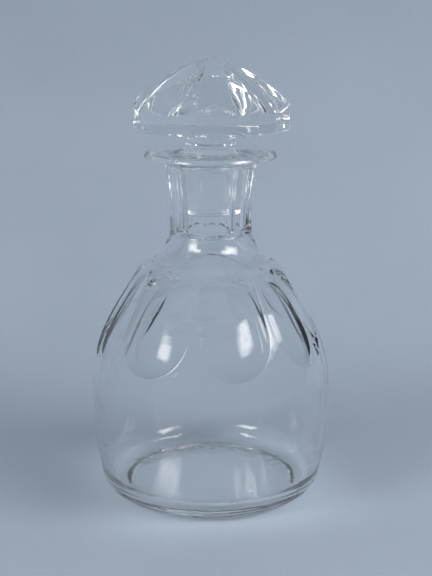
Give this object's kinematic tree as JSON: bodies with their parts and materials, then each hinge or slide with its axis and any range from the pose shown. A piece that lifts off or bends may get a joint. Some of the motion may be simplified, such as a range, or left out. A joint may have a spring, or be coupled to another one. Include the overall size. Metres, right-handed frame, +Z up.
{
  "type": "stoppered carafe",
  "caption": "Clear cut-crystal carafe with flat-panelled shoulder, octagonal waisted neck, flared lip and faceted mushroom stopper",
  "frame": {"origin": "the middle of the flat ring that the vessel stands on, at its resting height", "axes": "+Z up along the axis that the vessel and the stopper share; -Y is the front, which one shoulder panel faces; +X to the right of the front"},
  "size_m": [0.1326, 0.1326, 0.24],
  "materials": {
    "vessel_crystal": "polished",
    "stopper_crystal": "polished"
  },
  "bodies": {
    "vessel": {"vessel": "vessel_crystal"},
    "stopper": {"stopper": "stopper_crystal"}
  },
  "joints": [
    {"name": "stopper_lift", "type": "slide", "parent": "vessel", "child": "stopper", "axis": [0, 0, 1], "range_m": [0, 0.05]}
  ]
}
